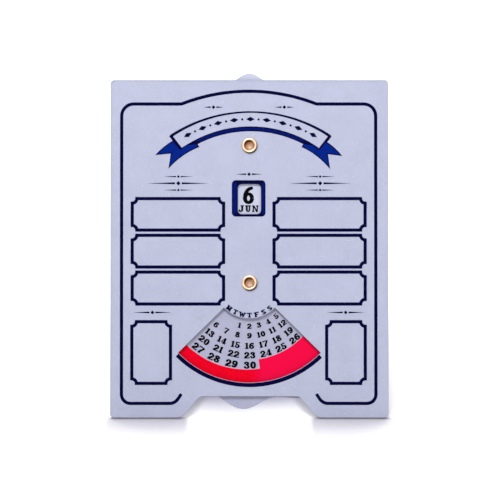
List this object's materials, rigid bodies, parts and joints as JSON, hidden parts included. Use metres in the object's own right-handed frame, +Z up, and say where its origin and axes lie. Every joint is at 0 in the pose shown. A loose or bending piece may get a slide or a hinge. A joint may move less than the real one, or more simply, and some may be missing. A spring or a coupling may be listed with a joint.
{
  "type": "perpetual desk calendar",
  "caption": "Perpetual desk calendar: scalloped month and date wheels turn on rivets between pressboards with a month window and a fan-shaped date window, held up by a hinged easel leg.",
  "frame": {"origin": "on the desk, at the centre of the footprint of the standing calendar", "axes": "+Z up; the board's printed front faces -Y and leans back by 15 degrees; +X to the right of someone reading it"},
  "size_m": [0.14, 0.053, 0.1681],
  "materials": {
    "board": "matte dyed pressboard",
    "wheel_card": "matte dyed card",
    "brass": "satin",
    "fibre": "vulcanised fibre"
  },
  "bodies": {
    "board": {"front_board": "board", "back_board": "board", "left_core": "board", "right_core": "board", "upper_rivet": "brass", "lower_rivet": "brass", "upper_spacer": "fibre", "lower_spacer": "fibre", "hinge_plate": "brass", "hinge_pin": "brass", "plate_rivet_left": "brass", "plate_rivet_right": "brass"},
    "month_dial": {"month_wheel": "wheel_card"},
    "date_dial": {"date_wheel": "wheel_card"},
    "leg": {"easel_leg": "board", "hinge_leaf": "brass", "leaf_rivet_left": "brass", "leaf_rivet_right": "brass"}
  },
  "joints": [
    {"name": "month_wheel_spin", "type": "hinge", "parent": "board", "child": "month_dial", "pos_m": [0, 0.01033, 0.13289], "axis": [0, -0.9659, 0.2588], "continuous": true},
    {"name": "date_wheel_spin", "type": "hinge", "parent": "board", "child": "date_dial", "pos_m": [0, -0.00691, 0.06587], "axis": [0, -0.9659, 0.2588], "continuous": true},
    {"name": "leg_fold", "type": "hinge", "parent": "board", "child": "leg", "pos_m": [0, 0.00289, 0.09161], "axis": [1, 0, 0], "range_deg": [-29, 0]}
  ]
}
